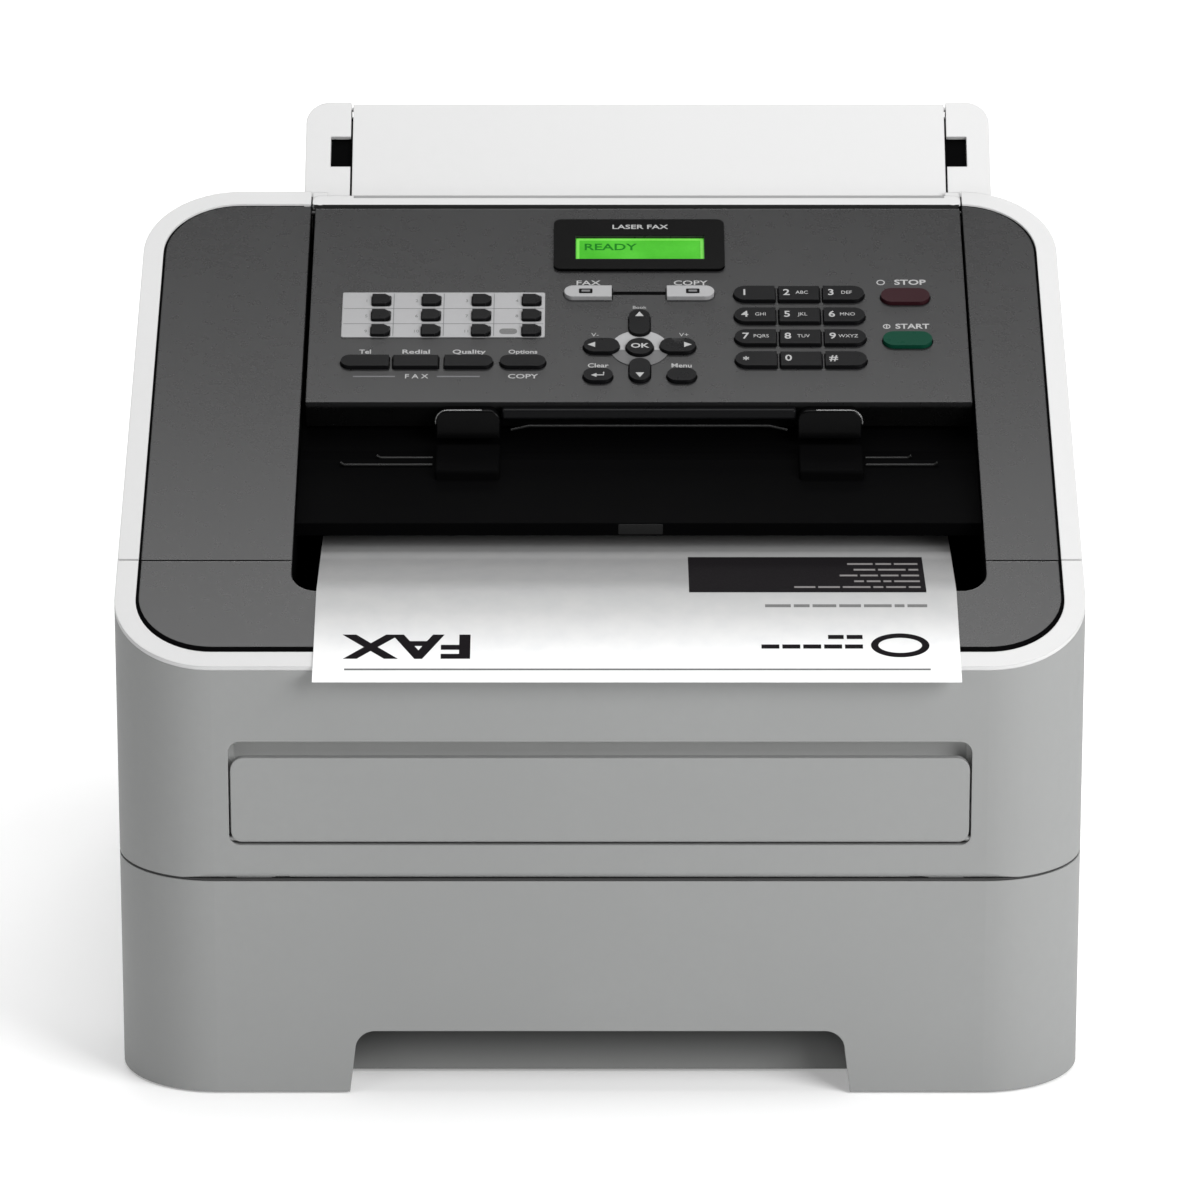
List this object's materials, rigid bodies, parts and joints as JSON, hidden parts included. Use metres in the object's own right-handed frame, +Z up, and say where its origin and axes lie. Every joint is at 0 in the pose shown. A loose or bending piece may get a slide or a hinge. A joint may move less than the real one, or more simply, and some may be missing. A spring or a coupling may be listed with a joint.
{
  "type": "laser fax machine",
  "caption": "Desktop laser fax machine with a paper tray, front cover, manual feed door, sloped keypad lid with display, document tray and output bay.",
  "frame": {"origin": "on the desk, under the middle of the body", "axes": "+X to the right as seen from the front, +Y to the back, +Z up"},
  "size_m": [0.368, 0.378, 0.3111],
  "materials": {
    "white_shell": "fine-textured moulded plastic",
    "grey_shell": "fine-textured moulded plastic",
    "dark_inlay": "fine-textured dark grey plastic",
    "black_plastic": "semi-gloss black plastic",
    "black_key": "satin black key cap",
    "silver_key": "silver-painted key cap",
    "stop_key": "dark red key cap",
    "start_key": "green key cap",
    "lcd": "green backlit display window",
    "chassis_steel": "zinc-plated sheet",
    "roller_rubber": "matt roller rubber",
    "drum_coat": "coated drum",
    "fuser_coat": "fuser sleeve",
    "board": "solder-masked circuit board",
    "paper": "office paper"
  },
  "bodies": {
    "main_frame": {"base_frame": "chassis_steel", "left_side_cover": "white_shell", "right_side_cover": "white_shell", "upper_housing": "white_shell", "top_inlays": "dark_inlay", "output_bay": "black_plastic", "exit_hood": "black_plastic", "rubber_feet": "roller_rubber", "document_tray": "white_shell", "toner_unit": "black_plastic", "laser_unit": "black_plastic", "main_board": "board", "line_and_power_sockets": "black_plastic"},
    "paper_tray": {"paper_tray": "grey_shell"},
    "lift_plate": {"lift_plate": "chassis_steel"},
    "paper_guide_left": {"paper_guide_left": "black_plastic"},
    "paper_guide_right": {"paper_guide_right": "black_plastic"},
    "front_cover": {"front_cover": "grey_shell", "front_rim": "white_shell", "front_inlay": "dark_inlay"},
    "manual_feed_door": {"manual_feed_door": "grey_shell"},
    "control_panel": {"control_panel": "dark_inlay", "lcd_screen": "lcd"},
    "document_flap": {"document_flap": "white_shell"},
    "back_cover": {"back_cover": "white_shell"},
    "power_switch": {"power_switch": "black_plastic"},
    "printed_page": {"printed_page": "paper"},
    "photo_drum": {"photo_drum": "drum_coat"},
    "fuser_roller": {"fuser_roller": "fuser_coat"},
    "exit_rollers": {"exit_rollers": "roller_rubber"},
    "pickup_roller": {"pickup_roller": "roller_rubber"},
    "feed_roller": {"feed_roller": "roller_rubber"},
    "key_1": {"key_1": "black_key"},
    "key_2": {"key_2": "black_key"},
    "key_3": {"key_3": "black_key"},
    "key_4": {"key_4": "black_key"},
    "key_5": {"key_5": "black_key"},
    "key_6": {"key_6": "black_key"},
    "key_7": {"key_7": "black_key"},
    "key_8": {"key_8": "black_key"},
    "key_9": {"key_9": "black_key"},
    "key_star": {"key_star": "black_key"},
    "key_0": {"key_0": "black_key"},
    "key_hash": {"key_hash": "black_key"},
    "stop_key": {"stop_key": "stop_key"},
    "start_key": {"start_key": "start_key"},
    "up_key": {"up_key": "black_key"},
    "down_key": {"down_key": "black_key"},
    "left_key": {"left_key": "black_key"},
    "right_key": {"right_key": "black_key"},
    "ok_key": {"ok_key": "black_key"},
    "clear_key": {"clear_key": "black_key"},
    "menu_key": {"menu_key": "black_key"},
    "fax_key": {"fax_key": "silver_key"},
    "copy_key": {"copy_key": "silver_key"},
    "function_key_1": {"function_key_1": "black_key"},
    "function_key_2": {"function_key_2": "black_key"},
    "function_key_3": {"function_key_3": "black_key"},
    "function_key_4": {"function_key_4": "black_key"},
    "one_touch_keys": {"one_touch_keys": "black_key"}
  },
  "joints": [
    {"name": "paper_tray_slide", "type": "slide", "parent": "main_frame", "child": "paper_tray", "axis": [0, -1, 0], "range_m": [0, 0.29]},
    {"name": "front_cover_hinge", "type": "hinge", "parent": "main_frame", "child": "front_cover", "pos_m": [0, -0.1774, 0.09], "axis": [1, 0, 0], "range_deg": [0, 85], "deforming": ["printed_page"]},
    {"name": "manual_feed_door_hinge", "type": "hinge", "parent": "front_cover", "child": "manual_feed_door", "pos_m": [0, -0.1785, 0.1033], "axis": [1, 0, 0], "range_deg": [0, 80]},
    {"name": "control_panel_hinge", "type": "hinge", "parent": "main_frame", "child": "control_panel", "pos_m": [0, 0.08925, 0.27596], "axis": [-1, 0, 0], "range_deg": [0, 50]},
    {"name": "document_flap_hinge", "type": "hinge", "parent": "main_frame", "child": "document_flap", "pos_m": [0, 0.13397, 0.30825], "axis": [-1, 0, 0], "range_deg": [0, 165]},
    {"name": "back_cover_hinge", "type": "hinge", "parent": "main_frame", "child": "back_cover", "pos_m": [0, 0.17875, 0.1], "axis": [-1, 0, 0], "range_deg": [0, 85]},
    {"name": "printed_page_slide", "type": "slide", "parent": "main_frame", "child": "printed_page", "axis": [0, -1, 0], "range_m": [0, 0.12]},
    {"name": "lift_plate_hinge", "type": "hinge", "parent": "paper_tray", "child": "lift_plate", "pos_m": [0, -0.024, 0.012], "axis": [-1, 0, 0], "range_deg": [0, 12]},
    {"name": "paper_guide_left_slide", "type": "slide", "parent": "paper_tray", "child": "paper_guide_left", "axis": [1, 0, 0], "range_m": [0, 0.055]},
    {"name": "paper_guide_right_slide", "type": "slide", "parent": "paper_tray", "child": "paper_guide_right", "axis": [-1, 0, 0], "range_m": [0, 0.055]},
    {"name": "power_switch_rocker", "type": "hinge", "parent": "main_frame", "child": "power_switch", "pos_m": [0.18, 0.137, 0.051], "axis": [0, 1, 0], "range_deg": [0, 9]},
    {"name": "photo_drum_spin", "type": "hinge", "parent": "main_frame", "child": "photo_drum", "pos_m": [0, 0.036, 0.108], "axis": [1, 0, 0], "continuous": true},
    {"name": "fuser_roller_spin", "type": "hinge", "parent": "main_frame", "child": "fuser_roller", "pos_m": [0, 0.112, 0.122], "axis": [1, 0, 0], "continuous": true},
    {"name": "exit_rollers_spin", "type": "hinge", "parent": "main_frame", "child": "exit_rollers", "pos_m": [0, 0.093, 0.1822], "axis": [1, 0, 0], "continuous": true},
    {"name": "pickup_roller_spin", "type": "hinge", "parent": "main_frame", "child": "pickup_roller", "pos_m": [0, -0.092, 0.0745], "axis": [1, 0, 0], "continuous": true},
    {"name": "feed_roller_spin", "type": "hinge", "parent": "main_frame", "child": "feed_roller", "pos_m": [0, 0.052, 0.2415], "axis": [1, 0, 0], "continuous": true},
    {"name": "key_1_press", "type": "slide", "parent": "control_panel", "child": "key_1", "axis": [0, 0.3665, -0.9304], "range_m": [0, 0.0012], "stiffness_N_per_m": 200, "springref_m": -0.001},
    {"name": "key_2_press", "type": "slide", "parent": "control_panel", "child": "key_2", "axis": [0, 0.3665, -0.9304], "range_m": [0, 0.0012], "stiffness_N_per_m": 200, "springref_m": -0.001},
    {"name": "key_3_press", "type": "slide", "parent": "control_panel", "child": "key_3", "axis": [0, 0.3665, -0.9304], "range_m": [0, 0.0012], "stiffness_N_per_m": 200, "springref_m": -0.001},
    {"name": "key_4_press", "type": "slide", "parent": "control_panel", "child": "key_4", "axis": [0, 0.3665, -0.9304], "range_m": [0, 0.0012], "stiffness_N_per_m": 200, "springref_m": -0.001},
    {"name": "key_5_press", "type": "slide", "parent": "control_panel", "child": "key_5", "axis": [0, 0.3665, -0.9304], "range_m": [0, 0.0012], "stiffness_N_per_m": 200, "springref_m": -0.001},
    {"name": "key_6_press", "type": "slide", "parent": "control_panel", "child": "key_6", "axis": [0, 0.3665, -0.9304], "range_m": [0, 0.0012], "stiffness_N_per_m": 200, "springref_m": -0.001},
    {"name": "key_7_press", "type": "slide", "parent": "control_panel", "child": "key_7", "axis": [0, 0.3665, -0.9304], "range_m": [0, 0.0012], "stiffness_N_per_m": 200, "springref_m": -0.001},
    {"name": "key_8_press", "type": "slide", "parent": "control_panel", "child": "key_8", "axis": [0, 0.3665, -0.9304], "range_m": [0, 0.0012], "stiffness_N_per_m": 200, "springref_m": -0.001},
    {"name": "key_9_press", "type": "slide", "parent": "control_panel", "child": "key_9", "axis": [0, 0.3665, -0.9304], "range_m": [0, 0.0012], "stiffness_N_per_m": 200, "springref_m": -0.001},
    {"name": "key_star_press", "type": "slide", "parent": "control_panel", "child": "key_star", "axis": [0, 0.3665, -0.9304], "range_m": [0, 0.0012], "stiffness_N_per_m": 200, "springref_m": -0.001},
    {"name": "key_0_press", "type": "slide", "parent": "control_panel", "child": "key_0", "axis": [0, 0.3665, -0.9304], "range_m": [0, 0.0012], "stiffness_N_per_m": 200, "springref_m": -0.001},
    {"name": "key_hash_press", "type": "slide", "parent": "control_panel", "child": "key_hash", "axis": [0, 0.3665, -0.9304], "range_m": [0, 0.0012], "stiffness_N_per_m": 200, "springref_m": -0.001},
    {"name": "stop_key_press", "type": "slide", "parent": "control_panel", "child": "stop_key", "axis": [0, 0.3665, -0.9304], "range_m": [0, 0.0012], "stiffness_N_per_m": 200, "springref_m": -0.001},
    {"name": "start_key_press", "type": "slide", "parent": "control_panel", "child": "start_key", "axis": [0, 0.3665, -0.9304], "range_m": [0, 0.0012], "stiffness_N_per_m": 200, "springref_m": -0.001},
    {"name": "up_key_press", "type": "slide", "parent": "control_panel", "child": "up_key", "axis": [0, 0.3665, -0.9304], "range_m": [0, 0.0012], "stiffness_N_per_m": 200, "springref_m": -0.001},
    {"name": "down_key_press", "type": "slide", "parent": "control_panel", "child": "down_key", "axis": [0, 0.3665, -0.9304], "range_m": [0, 0.0012], "stiffness_N_per_m": 200, "springref_m": -0.001},
    {"name": "left_key_press", "type": "slide", "parent": "control_panel", "child": "left_key", "axis": [0, 0.3665, -0.9304], "range_m": [0, 0.0012], "stiffness_N_per_m": 200, "springref_m": -0.001},
    {"name": "right_key_press", "type": "slide", "parent": "control_panel", "child": "right_key", "axis": [0, 0.3665, -0.9304], "range_m": [0, 0.0012], "stiffness_N_per_m": 200, "springref_m": -0.001},
    {"name": "ok_key_press", "type": "slide", "parent": "control_panel", "child": "ok_key", "axis": [0, 0.3665, -0.9304], "range_m": [0, 0.0012], "stiffness_N_per_m": 200, "springref_m": -0.001},
    {"name": "clear_key_press", "type": "slide", "parent": "control_panel", "child": "clear_key", "axis": [0, 0.3665, -0.9304], "range_m": [0, 0.0012], "stiffness_N_per_m": 200, "springref_m": -0.001},
    {"name": "menu_key_press", "type": "slide", "parent": "control_panel", "child": "menu_key", "axis": [0, 0.3665, -0.9304], "range_m": [0, 0.0012], "stiffness_N_per_m": 200, "springref_m": -0.001},
    {"name": "fax_key_press", "type": "slide", "parent": "control_panel", "child": "fax_key", "axis": [0, 0.3665, -0.9304], "range_m": [0, 0.0012], "stiffness_N_per_m": 200, "springref_m": -0.001},
    {"name": "copy_key_press", "type": "slide", "parent": "control_panel", "child": "copy_key", "axis": [0, 0.3665, -0.9304], "range_m": [0, 0.0012], "stiffness_N_per_m": 200, "springref_m": -0.001},
    {"name": "function_key_1_press", "type": "slide", "parent": "control_panel", "child": "function_key_1", "axis": [0, 0.3665, -0.9304], "range_m": [0, 0.0012], "stiffness_N_per_m": 200, "springref_m": -0.001},
    {"name": "function_key_2_press", "type": "slide", "parent": "control_panel", "child": "function_key_2", "axis": [0, 0.3665, -0.9304], "range_m": [0, 0.0012], "stiffness_N_per_m": 200, "springref_m": -0.001},
    {"name": "function_key_3_press", "type": "slide", "parent": "control_panel", "child": "function_key_3", "axis": [0, 0.3665, -0.9304], "range_m": [0, 0.0012], "stiffness_N_per_m": 200, "springref_m": -0.001},
    {"name": "function_key_4_press", "type": "slide", "parent": "control_panel", "child": "function_key_4", "axis": [0, 0.3665, -0.9304], "range_m": [0, 0.0012], "stiffness_N_per_m": 200, "springref_m": -0.001},
    {"name": "one_touch_keys_press", "type": "slide", "parent": "control_panel", "child": "one_touch_keys", "axis": [0, 0.3665, -0.9304], "range_m": [0, 0.0012], "stiffness_N_per_m": 400, "springref_m": -0.001}
  ],
  "couplings": [
    {"joint": "paper_guide_right_slide", "follows": "paper_guide_left_slide", "ratio": 1},
    {"joint": "fuser_roller_spin", "follows": "photo_drum_spin", "ratio": 0.9231},
    {"joint": "exit_rollers_spin", "follows": "photo_drum_spin", "ratio": 2}
  ]
}
